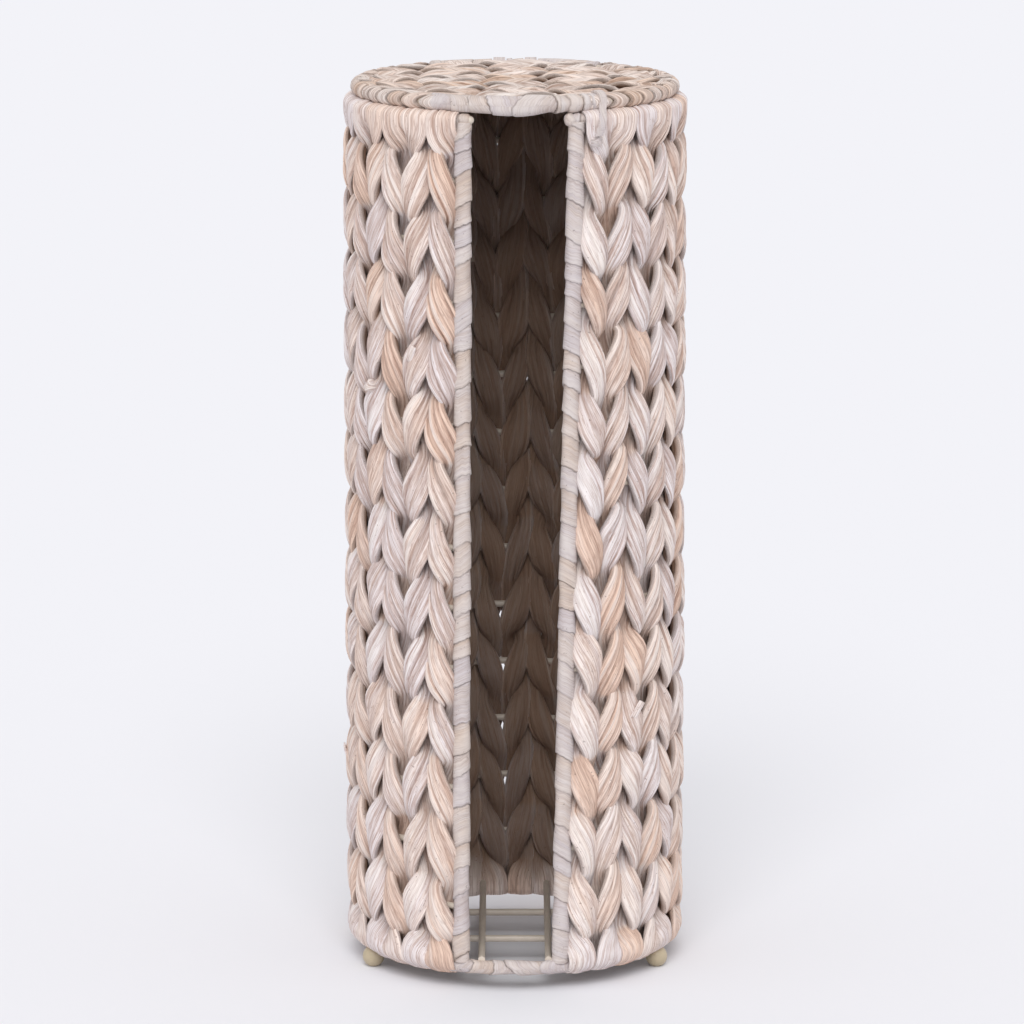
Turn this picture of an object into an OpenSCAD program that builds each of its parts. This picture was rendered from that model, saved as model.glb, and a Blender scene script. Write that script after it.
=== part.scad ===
// Tall woven store with a wire frame, a slot down its front and a hinged woven lid.
// The origin is on the floor, under the middle of the base. The slot faces -Y and +Z is up.

/* [Wall] */
// Outer diameter over the weave
wall_d = 150; // [135:1:190]
// Thickness of the weave from outside to inside
wall_t = 12; // [10:0.5:14]
// Height of the top of the weave above the floor
wall_h = 383.5; // [250:0.5:520]
// Thickness of the leaf where it folds over the top ring
top_fold_t = 1; // [0.8:0.1:2.5]
// Thickness of the leaf where it folds under the bottom ring
base_fold_t = 2; // [1.5:0.1:2.5]
// Radius of the weave's outer edge at the top
top_edge_r = 5; // [3:0.5:6]
// Radius of the weave's outer edge at the base
base_edge_r = 8; // [4:0.5:8]
// Radius of the weave's inner edges
inner_edge_r = 3; // [1:0.5:3]

/* [Weave] */
// Number of twined columns round the wall
column_count = 31; // [25:2:35]
// Gap between neighbouring columns, and between the lid's rows
weave_gap = 0.3; // [0.2:0.05:0.6]
// Height of a column's crown over its edges
column_crown = 3; // [1:0.25:3.5]
// Depth of the groove where the two strands of a column cross
cross_depth = 3; // [1.5:0.1:4]
// Width of that groove
cross_w = 7; // [5:0.5:9]
// Gap between a strand and the wire inside it
grip = 0.1; // [0.05:0.01:0.15]

/* [Slot] */
// Clear width of the slot at half height
slot_w = 38; // [30:1:60]
// How much wider the slot is at the top than at the base
slot_flare = 5; // [0:0.5:8]
// Angle by which the wall is twisted between base and top
wall_twist = 3.5; // [0:0.5:6]
// Length of the top ring that shows past each slot binding
ring_stub = 1; // [1:0.5:4]

/* [Frame] */
// Wire diameter of the top and bottom rings
ring_d = 3.4; // [3:0.1:4.2]
// Wire diameter of the hoops
hoop_d = 3; // [2:0.1:3.6]
// Number of hoops between the rings
hoop_count = 13; // [9:1:13]
// Wire diameter of the two posts beside the slot
post_d = 4; // [3:0.1:4.5]
// Wire diameter of the two rear uprights
upright_d = 3; // [2:0.1:3.6]
// Number of columns between each rear upright and the slot
upright_column = 10; // [7:1:11]
// Wire diameter of the base rails and bars
base_d = 3; // [2:0.1:3.6]
// Distance between the two rails that run front to back
rail_spacing = 29; // [20:1:34]
// Distance between the two bars that run left to right
bar_spacing = 44; // [30:1:60]

/* [Feet] */
// Diameter of a ball foot
foot_d = 9.6; // [8:0.2:12]
// Depth of the flat that the ball stands on
foot_flat = 0.4; // [0.2:0.1:0.8]
// Depth to which the ring is let into the top of the ball
foot_saddle = 0.8; // [0.4:0.1:1.4]
// Angle of the feet from the front and from the back
foot_angle = 65; // [55:1:70]

/* [Bindings] */
// Diameter over the leaf wound round a slot post
bind_d = 7.6; // [6.5:0.1:9]
// Diameter over the leaf wound round the bottom ring
ring_bind_d = 6.4; // [5.5:0.1:7]
// Length of one wrap of leaf along its wire
wrap_l = 13; // [8:0.5:20]
// Step from one wrap of leaf to the next
wrap_step = 0.4; // [0.2:0.05:0.6]

/* [Lid] */
// Distance of the lid's edge inside the wall's
lid_inset = 4; // [2:0.5:5]
// Thickness of the lid
lid_t = 7.5; // [6:0.1:9]
// Wire diameter of the lid's ring
lid_ring_d = 4; // [3:0.1:4.5]
// Wire diameter of the lid's straight wires
lid_wire_d = 2.6; // [2:0.1:3.2]
// Number of straight wires in the lid
lid_wire_count = 5; // [3:2:5]
// Number of twined rows across the lid
row_count = 10; // [8:2:10]
// Height of a row's crown over its edges
row_crown = 1.8; // [0.5:0.1:2.4]
// Depth of the groove where the two strands of a row cross
row_cross_depth = 1.5; // [0.8:0.1:2.4]
// Half angle over which the rim is bound at the front and at the back
rim_bind_angle = 33; // [31:1:36]
// Gap between the closed lid and the weave under it
lid_gap = 0.3; // [0.2:0.05:0.5]

/* [Lid ties] */
// Distance between the two hinge ties
tie_spacing = 14; // [12:1:20]
// Width of a hinge tie
tie_w = 5; // [3:0.5:6]
// Thickness of the leaf in the ties and the closing tab
tie_t = 1.2; // [0.8:0.1:1.5]
// Play of the lid's rim in a hinge tie, and of the lid round it
tie_play = 0.35; // [0.3:0.05:0.6]
// Angle of the closing tab and its knot from the front
tab_angle = 27.5; // [26:0.5:29]
// Width of the closing tab
tab_w = 3.4; // [2:0.1:4]
// Diameter of the knot under the closing tab
knot_d = 5; // [4:0.2:5.6]
// Distance of the knot below the top of the weave
knot_drop = 12; // [10:0.5:18]
// Depth to which the knot is tied into the weave
knot_sink = 1; // [0.5:0.1:1.5]

/* [Hidden] */
$fn = 48;
// How far a cutting shape runs past what it cuts
spare = 1;
// Length of the groove between two lobes, as a share of a lobe's length
groove_share = 1.4;
// Number of flat faces along each bend of the closing tab
arc_steps = 12;
// How far a narrow wrap runs on under the wider ones beside it
wrap_lap = 0.5;
front = -90;
back = 90;
half_wall = wall_t / 2;
wall_r = wall_d / 2 - half_wall;
inner_r = wall_r - half_wall;

foot_r = foot_d / 2;
foot_z = foot_r - foot_flat;
bottom_ring_z = foot_z + foot_r - foot_saddle + ring_d / 2;
top_ring_z = wall_h - top_fold_t - ring_d / 2;
mid_z = (bottom_ring_z + top_ring_z) / 2;
frame_h = top_ring_z - bottom_ring_z;
wall_z = bottom_ring_z - ring_d / 2 - base_fold_t;
hoop_pitch = frame_h / (hoop_count + 1);

post_angle = asin((slot_w + bind_d) / 2 / wall_r);
edge_angle = asin((slot_w / 2 + bind_d + weave_gap) / wall_r);
column_angle = (360 - 2 * edge_angle) / column_count;
column_w = wall_r * column_angle * PI / 180;
column_half = wall_d / 2 * sin(column_angle / 2);
crown_r = arc_radius(column_half, column_crown);
cross_slant = atan(column_w / hoop_pitch);
plait_count = ceil(column_count / 2);

// Turn of the right and left sides of the slot between base and top
flare_angle = slot_flare / wall_r * 180 / PI;
right_turn = wall_twist + flare_angle / 2;
left_turn = wall_twist - flare_angle / 2;
right_post = front + post_angle;
left_post = front + 360 - post_angle;

upright_r = wall_r - ring_d / 2 - upright_d / 2;
rail_z = bottom_ring_z + ring_d / 2 + base_d / 2;
bar_z = rail_z - base_d;
rail_half = chord(wall_r, rail_spacing / 2);
bar_half = chord(wall_r, bar_spacing / 2);
foot_angles = [front - foot_angle, front + foot_angle, back - foot_angle, back + foot_angle];

lid_d = wall_d - 2 * lid_inset;
lid_r = (lid_d - lid_t) / 2;
lid_z = wall_h + lid_gap + lid_t / 2;
rim_in_r = lid_r - lid_t / 2;
row_pitch = 2 * rim_in_r / row_count;
row_crown_r = arc_radius(row_pitch / 2, row_crown);
lid_wire_pitch = 2 * lid_r / lid_wire_count;
row_slant = atan(row_pitch / lid_wire_pitch);
row_pairs = row_count / 2;

// The hinge axis is at the rearmost point of the lid's ring. Both rings curve away inside the ties
hinge_y = lid_r;
tie_edge = (tie_spacing + tie_w) / 2;
tie_in_r = lid_ring_d / 2 + lid_r - chord(lid_r, tie_edge) + tie_play;
tie_out_r = tie_in_r + tie_t;
tie_low_y = chord(wall_r, tie_spacing / 2);
tie_low_z = top_ring_z + chord(tie_in_r - ring_d / 2, tie_low_y - chord(wall_r, tie_edge));
tie_slant = atan((tie_low_y - hinge_y) / (lid_z - tie_low_z));
tie_side = tie_out_r / cos(tie_slant) + lid_t / 2 * tan(tie_slant);
tie_sweep_r = norm([tie_side, lid_t / 2]) + tie_play;

knot_z = wall_h - knot_drop;
knot_r = wall_d / 2 - knot_sink;
// The tab runs clear of the corner that the wall's crown makes with its rounded edge
tab_edge = [wall_d / 2 - top_edge_r, wall_h - top_edge_r];
tab_edge_r = norm([top_edge_r, chord(top_edge_r + spare, top_edge_r) - spare]) + weave_gap;
// Inside the rim the tab ends above the straight wires
tab_tuck = 180 - asin((lid_wire_d / 2 + grip) / (lid_t / 2));
tab_rim = [lid_r, lid_z];
tab_drop = tab_edge - tab_rim;
// Direction square to the tab where it runs straight from the rim to the wall's edge
tab_lean = 90 + atan2(tab_drop[1], tab_drop[0]) + asin((tab_edge_r - lid_t / 2) / norm(tab_drop));
tab_end_z = knot_z + knot_d / 2 + weave_gap;

function numbered(name, k) = str(name, k < 10 ? "_0" : "_", k);

// Half chord of a circle of radius r at distance x from its centre
function chord(r, x) = sqrt(pow(r, 2) - pow(x, 2));

// Radius of an arc that rises by h over a half width w
function arc_radius(w, h) = (pow(w, 2) + pow(h, 2)) / (2 * h);

// Height of a hoop: number 0 is the bottom ring and hoop_count + 1 the top ring
function hoop_z(k) = bottom_ring_z + k * hoop_pitch;

// Angle at half height of the boundary before column i, counted from the slot's right side
function boundary(i) = front + edge_angle + i * column_angle;

// Turn between base and top of what is at angle a at half height
function turn(a) = right_turn
    + (left_turn - right_turn) * (a - right_post) / (left_post - right_post);

// Angle at height z of what is at angle a at half height
function turned(a, z) = a + turn(a) * (z - mid_z) / frame_h;

// Lean from the vertical of a straight piece at angle a
function lean(a) = atan(wall_r * turn(a) * PI / 180 / frame_h);

// Places its children at angle a, with X along the wall, Y outwards and Z up
module at_angle(a) {
    rotate([0, 0, a - 90]) children();
}

// The same with the origin at half height, leaning as the twisted wall does
module on_wall(a) {
    at_angle(a) translate([0, 0, mid_z]) rotate([0, -lean(a), 0]) children();
}

// Arc of round wire in a level circle
module wire_arc(r, z, d, from, to) {
    translate([0, 0, z]) rotate([0, 0, from])
        rotate_extrude(angle = to - from) translate([r, 0]) circle(d = d);
}

// Closed circle of round wire
module wire_circle(r, z, d) {
    translate([0, 0, z]) rotate_extrude() translate([r, 0]) circle(d = d);
}

// Straight wire in the wall, from one height to another
module wall_wire(a, r, d, z0, z1) {
    on_wall(a) translate([0, r, z0 - mid_z]) cylinder(d = d, h = z1 - z0);
}

// What a rounded edge takes off a square corner
module edge_cut(x, z, r, quarter) {
    translate([x, z]) rotate(90 * quarter) difference() {
        translate([-r, -spare]) square(r + spare);
        translate([-r, r]) circle(r = r);
    }
}

// Frame

// Top ring from its end at angle a, which is a half ball, past its middle
module ring_half(a, side, sweep) {
    rotate([0, 0, a]) translate([0, 0, top_ring_z]) {
        rotate_extrude(angle = side * sweep) translate([wall_r, 0]) circle(d = ring_d);
        translate([wall_r, 0, 0]) rotate([90 * side, 0, 0]) rotate_extrude() intersection() {
            circle(d = ring_d);
            square(ring_d);
        }
    }
}

// The top ring is open at the slot, where its rounded ends show
module top_ring() {
    stub = (bind_d / 2 + ring_stub - ring_d / 2) / wall_r * 180 / PI;
    from = turned(right_post, top_ring_z) - stub;
    to = turned(left_post, top_ring_z) + stub;
    color("wheat") {
        ring_half(from, 1, (to - from) / 2 + 1);
        ring_half(to, -1, (to - from) / 2 + 1);
    }
}

module bottom_ring() {
    color("wheat") wire_circle(wall_r, bottom_ring_z, ring_d);
}

// Hoop from one post to the other round the back, ending short of their middles by the angle given
module hoop_wire(k, d, short = 0) {
    z = hoop_z(k);
    wire_arc(wall_r, z, d, turned(right_post, z) + short, turned(left_post, z) - short);
}

// A post reaches half way to the middle of each ring, which lies in a saddle in its end
module post_wire(a, d) {
    wall_wire(a, wall_r, d, bottom_ring_z + ring_d / 4, top_ring_z - ring_d / 4);
}

// A hoop butts against both posts
module hoop(k) {
    color("wheat") hoop_wire(k, hoop_d, asin((post_d / 2 + grip) / wall_r));
}

module slot_post(a) {
    color("wheat") difference() {
        post_wire(a, post_d);
        wire_circle(wall_r, bottom_ring_z, ring_d);
        wire_circle(wall_r, top_ring_z, ring_d);
    }
}

module upright_wire(side, d) {
    a = boundary(side > 0 ? upright_column : column_count - upright_column);
    wall_wire(a, upright_r, d, bottom_ring_z - ring_d / 2, top_ring_z + ring_d / 2);
}

module upright(side) {
    color("wheat") upright_wire(side, upright_d);
}

module rail_wire(side, d) {
    translate([side * rail_spacing / 2, rail_half, rail_z])
        rotate([90, 0, 0]) cylinder(d = d, h = 2 * rail_half);
}

// A rail lies on top of the bottom ring
module base_rail(side) {
    color("wheat") rail_wire(side, base_d);
}

module bar_wire(side, d) {
    translate([-bar_half, side * bar_spacing / 2, bar_z])
        rotate([0, 90, 0]) cylinder(d = d, h = 2 * bar_half);
}

// A bar lies under the rails, between the sides of the bottom ring
module base_bar(side) {
    color("wheat") difference() {
        bar_wire(side, base_d);
        wire_circle(wall_r, bottom_ring_z, ring_d);
    }
}

module foot_ball(k, d) {
    at_angle(foot_angles[k - 1]) translate([0, wall_r, foot_z]) sphere(d = d);
}

// Ball with a flat to stand on and a saddle for the ring
module foot(k) {
    color("darkkhaki") difference() {
        foot_ball(k, foot_d);
        at_angle(foot_angles[k - 1]) translate([-foot_r, wall_r - foot_r, -foot_d]) cube(foot_d);
        wire_circle(wall_r, bottom_ring_z, ring_d);
    }
}

// Bindings

// Leaf wound round a straight wire: each wrap ends a step wider than it starts
module wraps(length, d_in, d_out) {
    count = round(length / wrap_l);
    pitch = length / count;
    rotate_extrude() polygon(concat(
        [[d_in / 2, length], [d_in / 2, 0]],
        [for (i = [0:count - 1]) each [
            [d_out / 2 - wrap_step, i * pitch], [d_out / 2, (i + 1) * pitch]
        ]]
    ));
}

// Leaf wound round an arc of wire, with every other wrap a step narrower
module arc_wraps(r, z, d, from, to) {
    count = round((to - from) * PI / 180 * r / wrap_l);
    pitch = (to - from) / count;
    for (i = [0:count - 1]) {
        lap = i % 2 * wrap_lap / r * 180 / PI;
        wire_arc(r, z, d - wrap_step * (i % 2),
            from + i * pitch - lap, min(to, from + (i + 1) * pitch + lap));
    }
}

// The wrap that ties the top ring's end to its post, from the weave to the post's middle
module corner_wrap(a, side) {
    z = top_ring_z;
    edge = asin((bind_d + weave_gap) / 2 / wall_r);
    difference() {
        wire_arc(wall_r, z, ring_d + 2 * top_fold_t,
            turned(a, z) - (side > 0 ? 0 : edge), turned(a, z) + (side > 0 ? edge : 0));
        wire_circle(wall_r, z, ring_d + 2 * grip);
        post_wire(a, post_d + 2 * grip);
    }
}

// The leaf round a post ends against the wraps round the two rings
module post_binding(a, side) {
    z0 = bottom_ring_z + ring_bind_d / 2;
    z1 = top_ring_z - ring_d / 2 - top_fold_t - grip;
    color("linen") {
        corner_wrap(a, side);
        difference() {
            on_wall(a) translate([0, wall_r, z0 - mid_z]) wraps(z1 - z0, post_d + 2 * grip, bind_d);
            for (k = [1:hoop_count]) hoop_wire(k, hoop_d + 2 * grip);
        }
    }
}

// Leaf wound round the bottom ring where it crosses the slot
module ring_binding() {
    past = asin(bind_d / 2 / wall_r);
    from = turned(left_post, bottom_ring_z) - 360 - past;
    to = turned(right_post, bottom_ring_z) + past;
    color("linen") difference() {
        arc_wraps(wall_r, bottom_ring_z, ring_bind_d, from, to);
        wire_circle(wall_r, bottom_ring_z, ring_d + 2 * grip);
        for (side = [-1, 1]) rail_wire(side, base_d + 2 * grip);
        for (a = [right_post, left_post]) post_wire(a, post_d + 2 * grip);
    }
}

// Woven wall

// Section of the wall, a little deeper than the columns, which it rounds off at both ends
module wall_profile() {
    difference() {
        translate([inner_r - spare, wall_z]) square([wall_t + 2 * spare, wall_h - wall_z]);
        edge_cut(wall_d / 2 + spare, wall_z, base_edge_r + spare, 0);
        edge_cut(wall_d / 2 + spare, wall_h, top_edge_r + spare, 1);
        edge_cut(inner_r - spare, wall_h, inner_edge_r + spare, 2);
        edge_cut(inner_r - spare, wall_z, inner_edge_r + spare, 3);
    }
}

// Section of a column between its neighbours, crowned outside and inside
module column_section() {
    half = column_angle / 2 - weave_gap / 2 / wall_r * 180 / PI;
    reach = wall_d;
    intersection() {
        polygon([[0, 0], reach * [sin(half), cos(half)], reach * [-sin(half), cos(half)]]);
        translate([0, wall_r + half_wall - crown_r]) circle(r = crown_r);
        translate([0, wall_r - half_wall + crown_r]) circle(r = crown_r);
    }
}

// Groove between two lobes, where the strands cross on their way through the wall
module column_groove(z, side, way) {
    translate([0, wall_r + side * (half_wall + cross_w / 2 - cross_depth), z - mid_z])
        rotate([0, side * way * cross_slant, 0]) rotate(45)
            cube([cross_w * sin(45), cross_w * sin(45), groove_share * hoop_pitch], center = true);
}

// Straight channel through a column for a curved wire
module column_channel(z, d) {
    sag = wall_r - chord(wall_r, column_w / 2);
    translate([0, wall_r - sag / 2, z - mid_z]) rotate([0, 90, 0])
        cylinder(d = d + 2 * grip + sag, h = 2 * column_w, center = true);
}

// Twined pair of strands from ring to ring, round every hoop
module column(i) {
    a = boundary(i + 0.5);
    way = i % 2 == 0 ? -1 : 1;
    difference() {
        intersection() {
            rotate([0, 0, a - 1.5 * column_angle])
                rotate_extrude(angle = 3 * column_angle) wall_profile();
            on_wall(a) translate([0, 0, -frame_h]) linear_extrude(2 * frame_h) column_section();
        }
        on_wall(a) {
            for (k = [0:hoop_count], side = [-1, 1]) column_groove(hoop_z(k + 0.5), side, way);
            for (k = [0:hoop_count + 1])
                column_channel(hoop_z(k), k % (hoop_count + 1) == 0 ? ring_d : hoop_d);
        }
        for (side = [-1, 1]) {
            upright_wire(side, upright_d + 2 * grip);
            rail_wire(side, base_d + 2 * grip);
            bar_wire(side, base_d + 2 * grip);
            tie_room(side);
        }
        for (k = [1:4]) foot_ball(k, foot_d + 2 * grip);
        knot_ball(knot_d + 2 * grip);
    }
}

// Two columns that lean towards each other
module plait(n) {
    color("tan") for (i = [2 * n - 2:min(2 * n - 1, column_count - 1)]) column(i);
}

// Lid

module lid_ring_wire(d) {
    wire_circle(lid_r, lid_z, d);
}

module lid_ring() {
    color("wheat") lid_ring_wire(lid_ring_d);
}

module lid_wire_set(d) {
    for (k = [0:lid_wire_count - 1]) {
        x = (k - (lid_wire_count - 1) / 2) * lid_wire_pitch;
        half = chord(lid_r, x);
        translate([x, half, lid_z]) rotate([90, 0, 0]) cylinder(d = d, h = 2 * half);
    }
}

// The straight wires run front to back, from side to side of the ring
module lid_wires() {
    color("wheat") difference() {
        lid_wire_set(lid_wire_d);
        lid_ring_wire(lid_ring_d);
    }
}

// At the back the binding leaves the ring bare where the hinge ties hold it
module lid_binding(a) {
    color("linen") difference() {
        arc_wraps(lid_r, lid_z, lid_t, a - rim_bind_angle, a + rim_bind_angle);
        lid_ring_wire(lid_ring_d + 2 * grip);
        lid_wire_set(lid_wire_d + 2 * grip);
        for (side = [-1, 1]) tie_sweep(side);
    }
}

// Disc with a round rim, left open where the rim is bound
module lid_blank() {
    open_angle = rim_bind_angle + weave_gap / lid_r * 180 / PI;
    difference() {
        translate([0, 0, lid_z]) rotate_extrude() {
            translate([0, -lid_t / 2]) square([lid_r, lid_t]);
            translate([lid_r, 0]) circle(d = lid_t);
        }
        for (a = [front, back]) rotate([0, 0, a - open_angle])
            translate([0, 0, lid_z - lid_t]) rotate_extrude(angle = 2 * open_angle)
                translate([rim_in_r - weave_gap, 0]) square([lid_t * 2, 2 * lid_t]);
    }
}

module row_section() {
    intersection() {
        square([row_pitch - weave_gap, lid_t], center = true);
        translate([0, lid_t / 2 - row_crown_r]) circle(r = row_crown_r);
        translate([0, row_crown_r - lid_t / 2]) circle(r = row_crown_r);
    }
}

module row_groove(x, side, way) {
    translate([x, 0, side * (lid_t / 2 + cross_w / 2 - row_cross_depth)])
        rotate([0, 0, side * way * row_slant]) rotate([45, 0, 0])
            cube([groove_share * lid_wire_pitch, cross_w * sin(45), cross_w * sin(45)], center = true);
}

// Twined pair of strands that runs left to right, round the straight wires and the ring
module lid_row(j) {
    y = (j - (row_count - 1) / 2) * row_pitch;
    way = j % 2 == 0 ? 1 : -1;
    difference() {
        intersection() {
            lid_blank();
            translate([-lid_d / 2, y, lid_z]) rotate([90, 0, 90]) linear_extrude(lid_d) row_section();
        }
        translate([0, y, lid_z]) for (k = [0:lid_wire_count], side = [-1, 1])
            row_groove((k - lid_wire_count / 2) * lid_wire_pitch, side, way);
        lid_ring_wire(lid_ring_d + 2 * grip);
        lid_wire_set(lid_wire_d + 2 * grip);
        for (side = [-1, 1]) tie_sweep(side);
        tab_room();
    }
}

module lid_plait(n) {
    color("tan") for (j = [2 * n - 2, 2 * n - 1]) lid_row(j);
}

// Ties

// Space that a hinge tie takes as the lid turns round the hinge axis
module tie_sweep(side) {
    w = tie_w + 2 * tie_play;
    translate([side * tie_spacing / 2 - w / 2, hinge_y, lid_z])
        rotate([0, 90, 0]) cylinder(r = tie_sweep_r, h = w);
}

// Notch in the top of the wall for a hinge tie
module tie_room(side) {
    w = tie_w + 2 * tie_play;
    z0 = tie_low_z - tie_out_r - tie_play;
    translate([side * tie_spacing / 2 - w / 2, hinge_y - wall_t, z0])
        cube([w, 2 * wall_t, wall_h - z0 + spare]);
}

// Slot shape with round ends round the hinge axis and the top ring
module tie_outline(r) {
    length = norm([tie_low_y - hinge_y, lid_z - tie_low_z]);
    translate([hinge_y, lid_z]) rotate(tie_slant) {
        circle(r = r);
        translate([0, -length]) circle(r = r);
        translate([-r, -length]) square([2 * r, length]);
    }
}

// Loop of leaf round the top ring and the lid's ring
module hinge_tie(side) {
    color("linen") translate([side * tie_spacing / 2 - tie_w / 2, 0, 0])
        rotate([90, 0, 90]) linear_extrude(tie_w) difference() {
            tie_outline(tie_out_r);
            tie_outline(tie_in_r);
        }
}

// Room inside the rim for the end of the tab
module tab_room() {
    w = tab_w + 2 * tie_play;
    at_angle(front + tab_angle) translate([-w / 2, rim_in_r - tie_t - tie_play, lid_z])
        cube([w, lid_t, lid_t]);
}

// Points along an arc round a centre
function arc_points(centre, r, from, to) =
    [for (i = [0:arc_steps]) let(a = from + i / arc_steps * (to - from)) centre + r * [cos(a), sin(a)]];

// One side of the tab, t outside the side that lies against the rim and the wall's edge
function tab_path(t) = concat(
    arc_points(tab_rim, lid_t / 2 + t, tab_tuck, tab_lean),
    arc_points(tab_edge, tab_edge_r + t, tab_lean, 0),
    [[tab_edge[0] + tab_edge_r + t, tab_end_z]]
);

function reversed(list) = [for (i = [len(list) - 1:-1:0]) list[i]];

// The tab folds over the rim, runs down clear of the wall's edge and ends over the knot
module closing_tab() {
    color("linen") at_angle(front + tab_angle) rotate([90, 0, 90]) translate([0, 0, -tab_w / 2])
        linear_extrude(tab_w) polygon(concat(tab_path(0), reversed(tab_path(tie_t))));
}

module knot_ball(d) {
    at_angle(front + tab_angle) translate([0, knot_r, knot_z]) sphere(d = d);
}

module closing_knot() {
    color("linen") knot_ball(knot_d);
}

top_ring();
bottom_ring();
for (k = [1:hoop_count]) hoop(k);
slot_post(left_post);  // slot_post_left
slot_post(right_post);  // slot_post_right
upright(-1);  // upright_left
upright(1);  // upright_right
base_rail(-1);  // base_rail_left
base_rail(1);  // base_rail_right
base_bar(-1);  // base_bar_front
base_bar(1);  // base_bar_back
for (k = [1:4]) foot(k);
post_binding(left_post, -1);  // post_binding_left
post_binding(right_post, 1);  // post_binding_right
ring_binding();
for (k = [1:plait_count]) plait(k);
lid_ring();
lid_wires();
lid_binding(front);  // lid_binding_front
lid_binding(back);  // lid_binding_back
for (k = [1:row_pairs]) lid_plait(k);
closing_tab();
hinge_tie(-1);  // hinge_tie_left
hinge_tie(1);  // hinge_tie_right
closing_knot();
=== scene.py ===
import math

import bmesh
import bpy
import numpy as np
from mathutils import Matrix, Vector


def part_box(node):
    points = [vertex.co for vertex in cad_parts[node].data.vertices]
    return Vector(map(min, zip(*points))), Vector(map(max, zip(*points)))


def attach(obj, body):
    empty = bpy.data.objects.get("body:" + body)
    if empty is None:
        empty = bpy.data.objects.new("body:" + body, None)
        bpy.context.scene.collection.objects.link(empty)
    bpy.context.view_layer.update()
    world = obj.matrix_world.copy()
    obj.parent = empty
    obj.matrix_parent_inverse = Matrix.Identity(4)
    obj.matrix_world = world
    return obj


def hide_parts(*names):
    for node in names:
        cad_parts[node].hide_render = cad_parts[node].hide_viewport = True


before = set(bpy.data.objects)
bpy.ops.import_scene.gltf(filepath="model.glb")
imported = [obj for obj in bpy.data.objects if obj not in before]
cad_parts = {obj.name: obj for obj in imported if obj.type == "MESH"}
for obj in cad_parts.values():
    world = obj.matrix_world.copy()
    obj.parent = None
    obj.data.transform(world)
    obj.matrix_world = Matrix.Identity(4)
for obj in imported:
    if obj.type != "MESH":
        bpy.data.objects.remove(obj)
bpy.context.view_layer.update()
bpy.ops.object.select_all(action="DESELECT")

# The view
# The camera stands about two and a half metres in front and looks a little down on the lid,
# with a long lens, so that the tall cylinder keeps nearly parallel sides.
CAMERA_DISTANCE = 2.4756
CAMERA_HEIGHT = 0.6921
AIM_HEIGHT = 0.1986
PICTURE_PX = 1024
SCALE_PX_PER_M = 2270
AXIS_PX = 515
SENSOR_MM = 36
FARTHEST_SEEN = 60

scene = bpy.context.scene
scene.view_settings.view_transform = "Standard"
camera_data = bpy.data.cameras.new("camera")
camera_data.sensor_width = SENSOR_MM
view_length = math.hypot(CAMERA_DISTANCE, CAMERA_HEIGHT - AIM_HEIGHT)
camera_data.lens = SENSOR_MM * view_length * SCALE_PX_PER_M / PICTURE_PX
camera_data.clip_end = FARTHEST_SEEN
camera = bpy.data.objects.new("camera", camera_data)
scene.collection.objects.link(camera)
side_step = -(AXIS_PX - PICTURE_PX / 2) / SCALE_PX_PER_M
camera.location = (side_step, -CAMERA_DISTANCE, CAMERA_HEIGHT)
look = Vector((0, CAMERA_DISTANCE, AIM_HEIGHT - CAMERA_HEIGHT))
camera.rotation_euler = look.to_track_quat("-Z", "Y").to_euler()
scene.camera = camera


# The studio
# A seamless pale floor, painted matt so that it takes the shadow and no highlight, under an even
# white sky, with one broad soft lamp high in front.
def linear(code):
    """sRGB hex code to a linear colour."""
    parts = [int(code[i:i + 2], 16) / 255 for i in (1, 3, 5)]
    return [c / 12.92 if c <= 0.04045 else ((c + 0.055) / 1.055) ** 2.4 for c in parts] + [1.0]


def add(tree, kind, inputs, output=0, **settings):
    """Adds a node with its settings, sets or links its inputs, and returns one of its outputs."""
    made = tree.nodes.new(kind)
    for name, value in settings.items():
        setattr(made, name, value)
    for name, value in inputs.items():
        if isinstance(value, bpy.types.NodeSocket):
            tree.links.new(value, made.inputs[name])
        else:
            made.inputs[name].default_value = value
    return made.outputs[output] if made.outputs else None


def new_material(name):
    """A material with an empty node tree, and the tree."""
    material = bpy.data.materials.new(name)
    material.use_nodes = True
    material.node_tree.nodes.clear()
    return material, material.node_tree


FLOOR_SIZE = 24.0
SKY_STRENGTH = 0.78
LAMP_STRENGTH = 1.42
LAMP_SOFTNESS = math.radians(34)
LAMP_SHINES = (0.04, 1.0, -1.0)

bpy.ops.mesh.primitive_plane_add(size=FLOOR_SIZE, location=(0, 0, 0))
floor = bpy.context.object
floor.name = "floor"
floor_paint, tree = new_material("painted studio floor")
shader = add(tree, "ShaderNodeBsdfPrincipled", {
    "Base Color": linear("#e9e9ee"), "Roughness": 0.9, "Specular IOR Level": 0.0})
add(tree, "ShaderNodeOutputMaterial", {"Surface": shader})
floor.data.materials.append(floor_paint)

world = bpy.data.worlds.new("sky")
world.use_nodes = True
sky = world.node_tree.nodes["Background"]
sky.inputs["Color"].default_value = linear("#ffffff")
sky.inputs["Strength"].default_value = SKY_STRENGTH
scene.world = world

lamp_data = bpy.data.lights.new("soft_lamp", "SUN")
lamp_data.energy = LAMP_STRENGTH
lamp_data.angle = LAMP_SOFTNESS
lamp = bpy.data.objects.new("soft_lamp", lamp_data)
scene.collection.objects.link(lamp)
lamp.rotation_euler = Vector(LAMP_SHINES).to_track_quat("-Z", "Y").to_euler()

# The frame
# Steel wire, bent and welded, then powder coated cream. The coat is satin, a little uneven,
# and shows only where the leaf leaves the wire bare.
MM = 0.001
COLOUR_A = 6
COLOUR_B = 7
COLOUR_OUT = 2
MOTTLE = 5 * MM
PEEL = 0.8 * MM
PEEL_DEPTH = 0.1 * MM
WIRES = ("top_ring", "bottom_ring", "hoop", "slot_post", "upright", "base_", "lid_ring", "lid_wires")


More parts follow.
